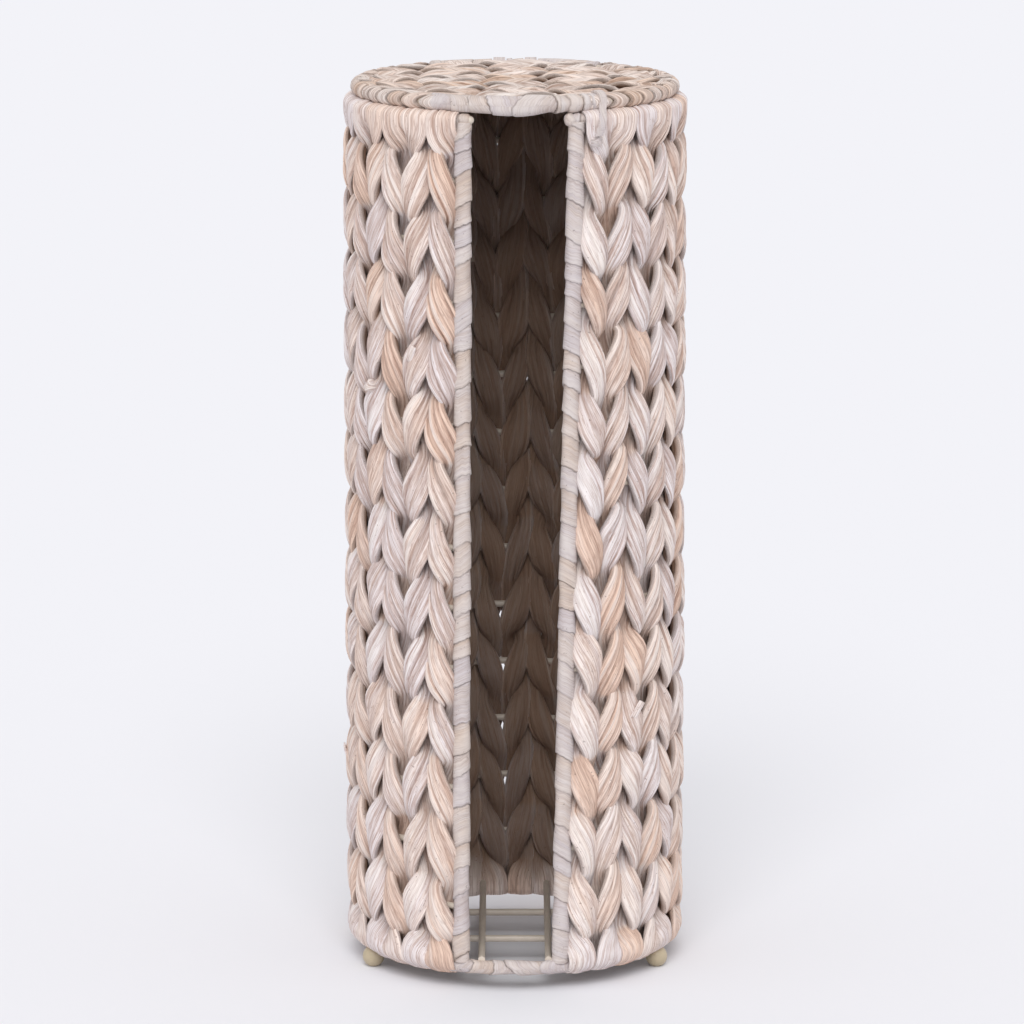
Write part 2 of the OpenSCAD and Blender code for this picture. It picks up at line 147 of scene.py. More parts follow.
def coat(name, dark, light, roughness):
    """Powder coat, baked on, which is faintly mottled and has a fine orange peel."""
    material, tree = new_material(name)
    place = add(tree, "ShaderNodeTexCoord", {}, "Object")
    mottle = add(tree, "ShaderNodeTexNoise", {"Vector": place, "Scale": 1 / MOTTLE, "Detail": 3.0})
    peel = add(tree, "ShaderNodeTexNoise", {"Vector": place, "Scale": 1 / PEEL, "Detail": 2.0})
    relief = add(tree, "ShaderNodeBump", {"Height": peel, "Strength": 0.25, "Distance": PEEL_DEPTH})
    colour = add(tree, "ShaderNodeMix", {0: mottle, COLOUR_A: linear(dark), COLOUR_B: linear(light)},
                 COLOUR_OUT, data_type="RGBA")
    shader = add(tree, "ShaderNodeBsdfPrincipled", {
        "Base Color": colour, "Roughness": roughness, "Normal": relief})
    add(tree, "ShaderNodeOutputMaterial", {"Surface": shader})
    return material


def finish_nodes(start, material):
    """Gives its material to every CAD node whose name starts so."""
    for name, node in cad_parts.items():
        if name.startswith(start):
            node.data.materials.clear()
            node.data.materials.append(material)


# satin, so the thin wires read as soft cream lines with no hard glint
finish_nodes(WIRES, coat("cream powder coat", "#c6baac", "#dacec1", 0.45))

# The feet
# Four small steel balls, welded under the bottom ring and powder coated khaki.
# a little smoother than the wires, so each ball catches one soft highlight
finish_nodes("foot", coat("khaki powder coat", "#ada083", "#c6b69d", 0.36))

# The wall
# Whitewashed leaf of a water plant, twined by hand round the hoops. Thirty-one columns share the
# way round the back from post to post. Each is two strands, folded over both rings at the ends.
COLUMNS = 31
HOOPS = 13
POST_LEAF_R = 3.8 * MM
WALL_HALF = 6 * MM
BASE_EDGE_R = 8 * MM
BASE_EDGE_SHARE = 0.97
EDGE_LAP = 1.5 * MM
WANDER = 0.9 * MM
LONG_WAVE = 31 * MM
SHORT_WAVE = 17 * MM

low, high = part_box("bottom_ring")
RING_R = (high[2] - low[2]) / 2
WALL_R = (high[0] - low[0]) / 2 - RING_R
RING_LOW = (high[2] + low[2]) / 2
low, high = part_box("top_ring")
RING_TOP = (high[2] + low[2]) / 2
low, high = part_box("plait_08")
WALL_LOW = low[2]
PITCH = (RING_TOP - RING_LOW) / (HOOPS + 1)
EDGE = (POST_LEAF_R - EDGE_LAP) / WALL_R


def post_angles(name, least):
    """Angles of a leaning post at the bottom and the top ring, from the least angle up."""
    points = np.array([v.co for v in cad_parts[name].data.vertices])
    middle = (RING_LOW + RING_TOP) / 2
    ends = [points[points[:, 2] < middle].mean(0), points[points[:, 2] > middle].mean(0)]
    angles = [(math.atan2(e[1], e[0]) - least) % (2 * math.pi) + least for e in ends]
    per_metre = (angles[1] - angles[0]) / (ends[1][2] - ends[0][2])
    return [angles[0] + per_metre * (z - ends[0][2]) for z in (RING_LOW, RING_TOP)]


right_post = post_angles("slot_post_right", -math.pi)
left_post = post_angles("slot_post_left", 0)
COLUMN_W = (left_post[0] - right_post[0] - 2 * EDGE) / COLUMNS * WALL_R


def post_angle(post, z):
    """Angle of a slot post at a height."""
    return post[0] + (post[1] - post[0]) * (z - RING_LOW) / (RING_TOP - RING_LOW)


def round_wall(angle, out_by, z):
    """Places points given by angle, distance outside the frame's wires and height."""
    # the foot of the wall is rounded inwards
    down = np.clip(WALL_LOW + BASE_EDGE_R - z, 0, BASE_EDGE_R * BASE_EDGE_SHARE)
    edge = WALL_HALF - BASE_EDGE_R + np.sqrt(BASE_EDGE_R ** 2 - down ** 2)
    radius = WALL_R + np.where(out_by > 0, out_by * edge / WALL_HALF, out_by)
    return np.stack([radius * np.cos(angle), radius * np.sin(angle), z + 0 * angle], -1)


def on_column(share):
    """Puts points given across, outwards and up onto the column a share of the way round."""
    def put(across, out_by, up):
        right = post_angle(right_post, up) + EDGE
        left = post_angle(left_post, up) - EDGE
        # hand weaving wanders, most in the middle of the back and least at the posts
        wander = np.sin(up / LONG_WAVE + 9 * share) + 0.6 * np.sin(up / SHORT_WAVE - 11 * share)
        wander = wander * WANDER * min(1, 8 * share, 8 * (1 - share)) / WALL_R
        return round_wall(right + (left - right) * share + across / WALL_R + wander, out_by, up)
    return put


# A strand is a bundle of folded leaf. Where it passes over a wire it is a wide, plump lobe with
# creases along it, and where it crosses its partner it is squeezed narrow.
OUTER_POINTS = 33
INNER_POINTS = 21
RINGS_PER_LOBE = 11
FOLD_RINGS = 8
RING_GAP = 0.15 * MM
# how far the straight start and the fold at a ring reach along the strand, in spaces of the wires
STRAIGHT_REACH = 0.5
FOLD_REACH = 0.6
# how much one lobe differs from the next in twist, width, thickness, depth and place
UNEVEN_TURN = 0.2
UNEVEN_WIDTH = 0.11
UNEVEN_THICK = 0.08
UNEVEN_DEPTH = 0.05
UNEVEN_ACROSS = 0.4 * MM
UNEVEN_ALONG = 1.2 * MM
SWAY_STRAIGHT = 0.94
OUTSIDE_POWER = 0.78
# creases and the fold of the leaf's edge, across the strand's half width
CREASE_COUNT = 12
CREASE_W = 0.06
LEAF_EDGE_W = 0.07
LEAF_EDGE_STEP = 0.45
DEEPEST = 0.34
HIGHEST = 0.5
CALM_FOLD = 0.6
FACE_APART = 50 * MM


def smooth(x):
    """Nought below nought, one above one, and a soft step between them."""
    x = np.clip(x, 0, 1)
    return x * x * (3 - 2 * x)


def eased(table, phase):
    """Reads a table of one value, or one row of values, a lobe at any phase, eased between them."""
    k = np.clip(np.floor(phase).astype(int), 0, len(table) - 2)
    f = smooth(phase - k).reshape([-1] + [1] * (table.ndim - 1))
    return table[k] * (1 - f) + table[k + 1] * f


def drift(rng, phase, stations, count, spread, step):
    """Rows of values that start apart and wander a little from one lobe of a strand to the next."""
    start = rng.uniform(-1, 1, (1, count)) * spread
    return eased(start + np.cumsum(rng.normal(0, step, (stations, count)), axis=0), phase)


def run_of(points):
    """How far along a row of points each of them lies."""
    return np.concatenate([[0], np.cumsum(np.linalg.norm(np.diff(points, axis=0), axis=1))])


def strand_line(rng, stops, partner, way, look):
    """A strand from ring to ring: its middle, the way it faces, its width and its thickness."""
    total = len(stops) - 1
    phase = np.linspace(0, total, total * RINGS_PER_LOBE + 1)
    # the pair lies straight where it meets the rings
    twist = phase.copy()
    for flip in (False, True):
        t = (total - phase if flip else phase) / STRAIGHT_REACH
        near = t < 1
        part = STRAIGHT_REACH * (2 * t ** 2 - t ** 3)
        twist[near] = (total - part[near]) if flip else part[near]
    uneven = np.clip(rng.normal(0, 1, (6, total + 3)), -1.5, 1.5)
    fold = np.maximum(smooth(1 - phase / FOLD_REACH), smooth(1 - (total - phase) / FOLD_REACH))
    turn = math.pi * (twist + partner) + UNEVEN_TURN * eased(uneven[0], phase) * (1 - fold)
    cosine, sine = np.cos(turn), np.sin(turn)
    over = np.abs(cosine)
    width = look["cross_w"] + (look["lobe_w"] - look["cross_w"]) * over
    width = width * (1 + UNEVEN_WIDTH * eased(uneven[1], phase))
    width += (look["fold_w"] * (1 + 0.05 * uneven[1][0]) - width) * fold
    thick = look["cross_t"] + (look["lobe_t"] - look["cross_t"]) * over
    thick = thick * (1 + UNEVEN_THICK * eased(uneven[2], phase))
    thick += (look["fold_t"] - thick) * fold
    depth = (look["half"] - thick / 2) * (1 - UNEVEN_DEPTH * np.abs(eased(uneven[3], phase)))
    # each lobe lies straight, and bends only where it is hidden under its partner
    sway = np.arcsin(SWAY_STRAIGHT * sine) / math.asin(SWAY_STRAIGHT)
    across = way * look["sway"] * sway * (1 - fold) + (0.5 - partner) * look["apart"] * fold
    across += UNEVEN_ACROSS * eased(uneven[4], phase) * (1 - fold)
    along = np.interp(phase, np.arange(total + 1), stops)
    along += UNEVEN_ALONG * eased(uneven[5], phase) * (1 - fold)
    tilt = way * look["tilt"] * sine * (1 - fold)
    return {"across": across, "out_by": depth * np.sign(cosine) * over ** OUTSIDE_POWER,
            "along": along, "normal": np.stack([np.sin(tilt), np.cos(tilt), 0 * tilt], -1),
            "width": width, "thick": thick, "phase": phase, "fold": fold}


def bent_round_rings(line, look):
    """Adds the ends of a strand, bent round the rings, some as far as the other side."""
    rise = look["ring_r"] + RING_GAP + look["fold_t"] / 2
    steps = np.linspace(0, look["wrap"], round(FOLD_RINGS * look["wrap"] / (math.pi / 2)) + 1)[1:]
    bends = []
    for i, sign in ((0, -1), (-1, 1)):
        out_by = line["out_by"][i]
        lift = np.stack([0 * steps, 1 / abs(out_by) * np.cos(steps),
                         np.sign(out_by) * sign * np.sin(steps) / rise], -1)
        bend = {key: np.full(len(steps), values[i]) for key, values in line.items() if key != "normal"}
        bend["out_by"] = out_by * np.cos(steps)
        bend["along"] = line["along"][i] + sign * rise * np.sin(steps)
        bend["normal"] = lift / np.linalg.norm(lift, axis=1)[:, None]
        bends.append(bend)
    first, last = bends
    return {key: np.concatenate([first[key][::-1], values, last[key]]) for key, values in line.items()}


def creases(rng, phase, stations, u, v):
    """Height of the creases along a strand, on its outer and its inner face."""
    relief = np.zeros((len(phase), len(u)))
    for face in (1, -1):
        spots = drift(rng, phase, stations, CREASE_COUNT, spread=0.95, step=0.07)
        depths = np.abs(drift(rng, phase, stations, CREASE_COUNT, spread=0.55, step=0.4)) ** 1.3
        here = np.zeros_like(relief)
        for m in range(CREASE_COUNT):
            off = (u[None, :] - spots[:, m:m + 1]) / CREASE_W
            here -= depths[:, m:m + 1] * np.exp(-off ** 2)
        leaf_edge = drift(rng, phase, stations, 1, spread=0.6, step=0.25)
        here += LEAF_EDGE_STEP * np.tanh((u[None, :] - leaf_edge) / LEAF_EDGE_W)
        relief += here * np.clip(face * v, 0, 1) ** 0.5
    return relief


def strand(rng, stops, partner, way, look, tone):
    """One strand of a twined pair, in the run's own space: across, outwards and along.

    The stops are the places of the wires along the run, with a ring at each end, where the
    strand folds over and meets its partner. The result is rings of points and what the leaf
    material reads at each of them."""
    line = bent_round_rings(strand_line(rng, stops, partner, way, look), look)
    phase, width, thick = line["phase"], line["width"], line["thick"]
    fold = line["fold"][:, None]
    calm = 1 - CALM_FOLD * fold

    middle = np.stack([line["across"], line["out_by"], line["along"]], -1)
    tangent = np.gradient(middle, axis=0)
    tangent /= np.linalg.norm(tangent, axis=1)[:, None]
    normal = line["normal"] - tangent * (line["normal"] * tangent).sum(1)[:, None]
    normal /= np.linalg.norm(normal, axis=1)[:, None]
    side = np.cross(tangent, normal)

    # more points lie on the outer face than on the one inside the store
    part = np.linspace(0, 1, OUTER_POINTS, endpoint=False)
    back = np.linspace(0, 1, INNER_POINTS, endpoint=False)
    u = np.concatenate([0.6 * (1 - 2 * part) + 0.4 * np.cos(math.pi * part),
                        0.6 * (2 * back - 1) - 0.4 * np.cos(math.pi * back)])
    v = (1 - u ** 2) ** 0.4 * np.repeat([1, -1], [OUTER_POINTS, INNER_POINTS])
    stations = len(stops) + 2
    relief = creases(rng, phase, stations, u, v) * (calm * look["crease"])
    relief = np.clip(relief, -DEEPEST * thick[:, None], HIGHEST * look["crease"])
    across_by = u[None, :] * width[:, None] / 2
    out = v[None, :] * thick[:, None] / 2 + relief * np.sign(v)[None, :]
    points = (middle[:, None, :] + side[:, None, :] * across_by[..., None]
              + normal[:, None, :] * out[..., None])

    tones = tone + look["patchy"] * rng.normal(0, 1, stations)
    nearest = np.clip(np.floor(phase + 0.5).astype(int), 0, stations - 1)
    # painted shade: the leaf is darkened where it lies deep in the wall, under its partner, and along
    # its squeezed edges
    hidden = 1 - np.clip(np.abs(points[..., 1]) / look["half"], 0, 1)
    pinched = smooth((np.abs(u) - 0.75) / 0.25)[None, :]
    return points, {
        "tone": tones[nearest][:, None], "raised": relief / look["crease"],
        "painted_shade": np.clip(np.maximum(hidden, 0.5 * pinched) * calm, 0, 1),
        "inside": np.clip(-1.5 * v, 0, 1) * (1 - fold), "length": run_of(middle)[:, None],
        "girth": (u * width.mean() / 2 + np.sign(v) * FACE_APART)[None, :]}


def tube_mesh(name, tubes, material):
    """Makes one object of tubes, each a grid of placed points and the values at them."""
    verts, faces, values, first = [], [], {}, 0
    for points, facts in tubes:
        rings, around = points.shape[:2]
        i = np.arange(rings - 1)[:, None] * around + first
        j = np.arange(around)[None, :]
        after = (j + 1) % around
        quads = np.stack([i + j, i + after, i + around + after, i + around + j], -1)
        faces += quads.reshape(-1, 4).tolist()
        faces.append(list(range(first + around - 1, first - 1, -1)))
        faces.append(list(range(first + (rings - 1) * around, first + rings * around)))
        verts += points.reshape(-1, 3).tolist()
        for key, value in facts.items():
            values.setdefault(key, []).append(np.broadcast_to(value, (rings, around)).reshape(-1))
        first += rings * around
    mesh = bpy.data.meshes.new(name)
    mesh.from_pydata(verts, [], faces)
    for key, parts in values.items():
        layer = mesh.attributes.new(key, "FLOAT", "POINT")
        layer.data.foreach_set("value", np.concatenate(parts).astype(np.float32))
    shell = bmesh.new()
    shell.from_mesh(mesh)
    bmesh.ops.recalc_face_normals(shell, faces=shell.faces)
    shell.to_mesh(mesh)
    shell.free()
    mesh.polygons.foreach_set("use_smooth", [True] * len(mesh.polygons))
    mesh.materials.append(material)
    made = bpy.data.objects.new(name, mesh)
    scene.collection.objects.link(made)
    return made


def settle(piece, body, slot, *nodes):
    """Puts a piece on the body it rides on and hides the CAD nodes it stands for. The slot, its finish,
    is not used.
    """
    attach(piece, body)
    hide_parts(*nodes)


# The leaf is dried pale, dipped in thin white paint and rubbed. Its patterns are as wide and as
# long as its threads and patches of colour, and its fibres are drawn coarser, so that they show.
FIBRE_W = 0.4 * MM
THREAD_W = 1.1 * MM
FIBRE_L = 16 * MM
PATCH_W = 2.4 * MM
PATCH_L = 20 * MM
SPECK = 1.2 * MM
FIBRE_DEPTH = 0.5 * MM
BARE_LEAF = "#80644f"


def leaf(name, cool, pale, warm, line, wash, shade, streak=0.7, fold_shade=0.3, thin=0.5):
    """Leaf in three tones, with darker fibre lines, white wash on what is raised, and painted shade in
    the creases and the folds.
    """
    material, tree = new_material(name)
    read = {key: add(tree, "ShaderNodeAttribute", {}, "Fac", attribute_name=key)
            for key in ("tone", "raised", "painted_shade", "inside", "length", "girth", "seed")}

    def grain(width, length, shift, detail):
        """A pattern that lies along the leaf, of that width and length."""
        across = add(tree, "ShaderNodeMath", {0: read["girth"], 1: width}, operation="DIVIDE")
        along = add(tree, "ShaderNodeMath", {0: read["length"], 1: length}, operation="DIVIDE")
        apart = add(tree, "ShaderNodeMath", {0: read["seed"], 1: shift}, operation="ADD")
        place = add(tree, "ShaderNodeCombineXYZ", {0: across, 1: along, 2: apart})
        return add(tree, "ShaderNodeTexNoise", {
            "Vector": place, "Scale": 1.0, "Detail": detail, "Roughness": 0.6})

    fibres = grain(FIBRE_W, FIBRE_L, 0.0, 3.0)
    patches = grain(PATCH_W, PATCH_L, 40.0, 2.0)
    threads = grain(THREAD_W, FIBRE_L, 80.0, 2.0)

    # three tones, by strand and by patch
    patch_tone = add(tree, "ShaderNodeMapRange", {
        "Value": patches, "From Min": 0.25, "From Max": 0.75, "To Min": -0.25, "To Max": 0.25})
    tone = add(tree, "ShaderNodeMath", {0: read["tone"], 1: patch_tone}, operation="ADD")
    colour = add(tree, "ShaderNodeValToRGB", {0: tone})
    ramp = colour.node.color_ramp
    ramp.elements[0].position = 0.1
    ramp.elements[0].color = linear(cool)
    ramp.elements[1].position = 0.95
    ramp.elements[1].color = linear(warm)
    ramp.elements.new(0.5).color = linear(pale)

    # fine streaks between the fibres, and thin threads where the pattern passes its middle
    streaks = add(tree, "ShaderNodeMapRange", {
        "Value": fibres, "From Min": 0.55, "From Max": 0.33, "To Min": 0.0, "To Max": streak})
    centred = add(tree, "ShaderNodeMath", {0: threads, 1: 0.5}, operation="SUBTRACT")
    distance = add(tree, "ShaderNodeMath", {0: centred}, operation="ABSOLUTE")
    thread = add(tree, "ShaderNodeMapRange", {
        "Value": distance, "From Min": 0.0, "From Max": 0.055, "To Min": thin, "To Max": 0.0})
    # paint stays on the ridges, in patches, and the creases get painted shade
    patch_wash = add(tree, "ShaderNodeMapRange", {
        "Value": patches, "From Min": 0.3, "From Max": 0.7, "To Min": -0.15, "To Max": 0.35})
    painted = add(tree, "ShaderNodeMath", {0: read["raised"], 1: patch_wash}, operation="ADD")
    washed = add(tree, "ShaderNodeMapRange", {
        "Value": painted, "From Min": 0.0, "From Max": 0.7, "To Min": 0.0, "To Max": 0.45})
    crease_shade = add(tree, "ShaderNodeMapRange", {
        "Value": read["raised"], "From Min": -0.35, "From Max": -1.3, "To Min": 0.0, "To Max": 0.38})
    # the folds between lobes get a brown painted shade, and the inside of the store keeps the brown of
    # bare leaf
    deep = add(tree, "ShaderNodeMath", {0: read["painted_shade"], 1: 1.6}, operation="POWER")
    folded = add(tree, "ShaderNodeMath", {0: deep, 1: fold_shade}, operation="MULTIPLY")
    place = add(tree, "ShaderNodeTexCoord", {}, "Object")
    specks = add(tree, "ShaderNodeTexNoise", {"Vector": place, "Scale": 1 / SPECK, "Detail": 1.0})
    specked = add(tree, "ShaderNodeMapRange", {
        "Value": specks, "From Min": 0.72, "From Max": 0.77, "To Min": 0.0, "To Max": 0.5})
    bare = add(tree, "ShaderNodeMath", {0: read["inside"], 1: 0.8}, operation="MULTIPLY")
    for share, over in ((streaks, line), (thread, line), (washed, wash), (crease_shade, line),
                        (folded, shade), (specked, shade), (bare, BARE_LEAF)):
        colour = add(tree, "ShaderNodeMix", {0: share, COLOUR_A: colour, COLOUR_B: linear(over)},
                     COLOUR_OUT, data_type="RGBA")

    # fibres and patches stand up, and threads are drawn in
    soft = add(tree, "ShaderNodeMath", {0: patches, 1: 0.5}, operation="MULTIPLY")
    proud = add(tree, "ShaderNodeMath", {0: fibres, 1: soft}, operation="ADD")
    drawn = add(tree, "ShaderNodeMath", {0: thread, 1: 0.5}, operation="MULTIPLY")
    height = add(tree, "ShaderNodeMath", {0: proud, 1: drawn}, operation="SUBTRACT")
    relief = add(tree, "ShaderNodeBump", {"Height": height, "Strength": 0.8, "Distance": FIBRE_DEPTH})
    roughness = add(tree, "ShaderNodeMapRange", {
        "Value": fibres, "From Min": 0.3, "From Max": 0.7, "To Min": 0.6, "To Max": 0.82})
    shader = add(tree, "ShaderNodeBsdfPrincipled", {
        "Base Color": colour, "Roughness": roughness, "Specular IOR Level": 0.3, "Normal": relief})
    add(tree, "ShaderNodeOutputMaterial", {"Surface": shader})
    return material


# chalky and streaked, from lilac white to a warm straw, with brown painted shade in the hollows
wall_leaf = leaf("whitewashed twisted leaf", "#f1e8e9", "#f9e9e0", "#f1d4c2", "#ac8979", "#f9f4f1",
                 "#6b5247", streak=0.68, fold_shade=0.34)

WALL_LOOK = {
    "lobe_w": 12.4 * MM, "lobe_t": 4.9 * MM, "cross_w": 9.0 * MM, "cross_t": 4.8 * MM,
    "fold_w": COLUMN_W + 0.7 * MM, "fold_t": 2.2 * MM, "half": WALL_HALF, "ring_r": RING_R,
    "sway": 3.6 * MM, "tilt": math.radians(27), "crease": 0.34 * MM, "patchy": 0.28,
    "apart": 0.0, "wrap": math.pi / 2}
hoop_stops = [RING_LOW + k * PITCH for k in range(HOOPS + 2)]
SLIP = 2.4 * MM
# where a new leaf is joined in, its end shows as a small flat tab or as a knot, by column
JOINS = {27: ("knot", 0.262), 29: ("tab", 0.276), 2: ("tab", 0.118), 8: ("tab", 0.301),
         13: ("knot", 0.140), 19: ("tab", 0.212), 24: ("tab", 0.087)}
JOIN_KNOT_R = 2.6 * MM
JOIN_TAB_W = 3.4 * MM
JOIN_TAB_L = 7 * MM
JOIN_TAB_T = 0.9 * MM
JOIN_TAB_RISE = 1.6 * MM
STRIP_AROUND = 20
TURN_POINTS = 33


def ribbon(rng, path, normals, width, thick, closed=False):
    """A folded strip of leaf along a path, with its flat side square to the normals."""
    tangent = np.gradient(path, axis=0)
    if closed:
        tangent[0] = tangent[-1] = path[1] - path[-2]
    tangent /= np.linalg.norm(tangent, axis=1)[:, None]
    side = np.cross(tangent, normals)
    side /= np.linalg.norm(side, axis=1)[:, None]
    theta = np.linspace(0, 2 * math.pi, STRIP_AROUND, endpoint=False)
    u = np.sign(np.cos(theta)) * np.abs(np.cos(theta)) ** 0.6
    v = np.sign(np.sin(theta)) * np.abs(np.sin(theta)) ** 0.6
    n = len(path)
    wander = np.cumsum(rng.normal(0, 0.03, n))
    wander = 0 * wander if closed else wander - np.linspace(0, wander[-1], n)
    across = u[None, :] * (width * (1 + wander))[:, None] / 2
    ridge = 0.22 * thick * np.cos(u * 7 + 1.5)[None, :] * np.sign(v)[None, :] * np.ones((n, 1))
    out = v[None, :] * thick / 2 + ridge * (np.abs(v) > 0.3)
    points = (path[:, None, :] + side[:, None, :] * across[..., None]
              + normals[:, None, :] * out[..., None])
    return points, {"tone": 0.3, "raised": ridge / (0.3 * thick), "painted_shade": 0.0, "inside": 0.0,
                    "length": run_of(path)[:, None], "girth": (u * width / 2)[None, :],
                    "seed": rng.uniform(0, 500)}


def knot(rng, middle, out_way, radius):
    """Two turns of leaf pulled tight round each other, on a wall that faces the outward way."""
    side_way = np.array([-out_way[1], out_way[0], 0])
    up_way = np.array([0, 0, 1.0])
    turns = []
    for lean, size, shift in ((0.35, 1.0, 0.0), (-0.6, 0.92, 0.35)):
        a = np.linspace(0, 2 * math.pi, TURN_POINTS)
        flat = side_way * math.cos(lean) + up_way * math.sin(lean)
        axis = np.cross(out_way, flat)
        ring = np.cos(a)[:, None] * out_way + np.sin(a)[:, None] * flat
        path = middle + 0.55 * radius * size * ring + shift * radius * 0.5 * axis
        turns.append(ribbon(rng, path, ring, 1.5 * radius, 0.85 * radius, closed=True))
    return turns


def join(rng, put, kind, z):
    """The end of a leaf where the next one takes over, on the outside of a column."""
    if kind == "knot":
        middle = put(0.0, WALL_HALF - 0.4 * JOIN_KNOT_R, z)
        return knot(rng, middle, middle * [1, 1, 0] / np.linalg.norm(middle[:2]), JOIN_KNOT_R)
    share = np.linspace(0, 1, 9)
    path = put((share - 0.5) * JOIN_TAB_W, WALL_HALF + (share - 0.6) * JOIN_TAB_RISE,
               z + share * JOIN_TAB_L)
    normals = path * [1, 1, 0]
    normals /= np.linalg.norm(normals, axis=1)[:, None]
    return [ribbon(rng, path, normals, JOIN_TAB_W, JOIN_TAB_T)]


for plait in range(1, (COLUMNS + 1) // 2 + 1):
    rng = np.random.default_rng(1000 + plait)
    tubes = []
    for column in range(2 * plait - 2, min(2 * plait, COLUMNS)):
        put = on_column((column + 0.5) / COLUMNS)
        way = -1 if column % 2 == 0 else 1
        # the weaver pushes each column down a little more or less than the next
        slip = rng.uniform(-1, 1) * SLIP
        stops = [hoop_stops[0]] + [z + slip for z in hoop_stops[1:-1]] + [hoop_stops[-1]]
        for partner in (0, 1):
            points, facts = strand(rng, stops, partner, way, WALL_LOOK, rng.uniform(0.15, 0.75))
            facts["seed"] = rng.uniform(0, 500)
            tubes.append((put(points[..., 0], points[..., 1], points[..., 2]), facts))
        if column in JOINS:
            tubes += join(rng, put, *JOINS[column])
    name = f"plait_{plait:02d}"
    settle(tube_mesh(name + "_strands", tubes, wall_leaf), "store", "wall_weave", name)

# The bindings
# Broad smooth leaf, wound damp round the bare wire of both posts and of the bottom ring across
# the slot, and drawn tight. It dries with a ragged seam at each turn.
BAND_RINGS = 0.4 * MM
BAND_AROUND = 40
RAGGED = 0.12 * MM
SEAM_W = 0.3 * MM
SEAM_DEPTH = 0.35 * MM
SEAM_SHADE = 1.2 * MM
FIBRE_RIPPLE = 0.02 * MM
FIBRE_SPACE = 1.3 * MM
# how far the wound leaf is from round, twice and three times a turn, and how fast that changes
OVAL = 0.10 * MM
OVAL_RUN = 9 * MM
CORNERED = 0.07 * MM
CORNERED_RUN = 5 * MM
RELIEF = 0.6 * MM
POST_TURN = 12 * MM
POST_SLANT = 2.4 * MM
POST_FLAT = 0.94
# the leaf on a post starts a little inside the leaf on the bottom ring
POST_START = 0.6
RING_TURN = 12 * MM
RING_SLANT = 3.2 * MM
RING_OVERLAP = 4.2 * MM
CORNER_LEAF_R = 2.7 * MM
CORNER_BACK = 4.6 * MM
CORNER_TURN = 5 * MM
CORNER_SLANT = 0.8 * MM
CORNER_TAPER = 1.6 * MM
# on the left the tip of the ring stays bare, and on the right the leaf covers it
CORNER_REACH = {"left": 3.4 * MM, "right": 5.6 * MM}


def winding(rng, length, radius, spacing, slant, plump=0.0, facing=None):
    """Leaf wound round a wire, as angle, radius and place along it, with one ridge a turn.

    Each seam leans its own way, or, where a facing angle is given, all of them the same way."""
    along = np.linspace(0, length, int(length / BAND_RINGS) + 1)[:, None]
    theta = np.linspace(0, 2 * math.pi, BAND_AROUND, endpoint=False)[None, :]
    seams = [-rng.uniform(0.3, 1) * spacing]
    while seams[-1] < length + spacing:
        seams.append(seams[-1] + spacing * rng.uniform(0.55, 1.45))
    level = np.full((along.shape[0], BAND_AROUND), radius)
    tone = np.zeros_like(level)
    painted_shade = np.zeros_like(level)
    fibre = along + 0 * theta
    for n, seam in enumerate(seams[:-1]):
        lean = slant * rng.uniform(0.3, 1.3)
        turned_by = rng.uniform(0, 2 * math.pi)
        if facing is not None:
            lean = slant * rng.uniform(0.5, 1.2)
            turned_by = facing + rng.uniform(-0.5, 0.5)
        ragged = sum(rng.normal(0, RAGGED) * np.cos(m * theta + rng.uniform(0, 6)) for m in (2, 3, 5, 8))
        past = along - (seam + lean * np.sin(theta - turned_by) + ragged)
        inside = past > 0
        share = np.clip(past / (seams[n + 1] - seam), 0, 1)
        step = rng.uniform(0.2, 0.8) * MM
        bulge = (rng.uniform(-0.3, 0.3) * MM + plump) * np.sin(math.pi * share)
        ripple = FIBRE_RIPPLE * np.cos(past / FIBRE_SPACE + np.sin(theta + n))
        level = np.where(inside, radius - step * (share - 0.4) + bulge + ripple * share, level)
        tone = np.where(inside, rng.uniform(0.1, 0.9), tone)
        fibre = np.where(inside, past + n * spacing, fibre)
        # painted shade: dark in the groove of each seam, fading away from it along the next turn
        groove = np.exp(-(past / SEAM_W) ** 2) * rng.uniform(0.1, 1.0)
        level = level - SEAM_DEPTH * groove
        painted_shade = np.maximum(painted_shade * np.where(inside, np.exp(-past / SEAM_SHADE), 1), groove)
    # a wound wire is never quite round
    level = level + (OVAL * np.cos(2 * theta + along / OVAL_RUN)
                     + CORNERED * np.cos(theta * 3 - along / CORNERED_RUN))
    facts = {"tone": tone, "raised": (level - radius) / RELIEF, "painted_shade": painted_shade,
             "length": theta * radius + 0 * along, "girth": fibre, "seed": rng.uniform(0, 500)}
    return theta + 0 * along, level, along + 0 * theta, facts


def wound_post(rng, post, low_z, high_z, facing):
    """Leaf round a slot post, which is a little flatter against the weave."""
    theta, level, up, facts = winding(rng, high_z - low_z, POST_LEAF_R, POST_TURN, POST_SLANT,
                                      facing=facing)
    z = low_z + up
    angle = post_angle(post, z) + level * np.cos(theta) / WALL_R
    radius = WALL_R + POST_FLAT * level * np.sin(theta)
    return np.stack([radius * np.cos(angle), radius * np.sin(angle), z], -1), facts


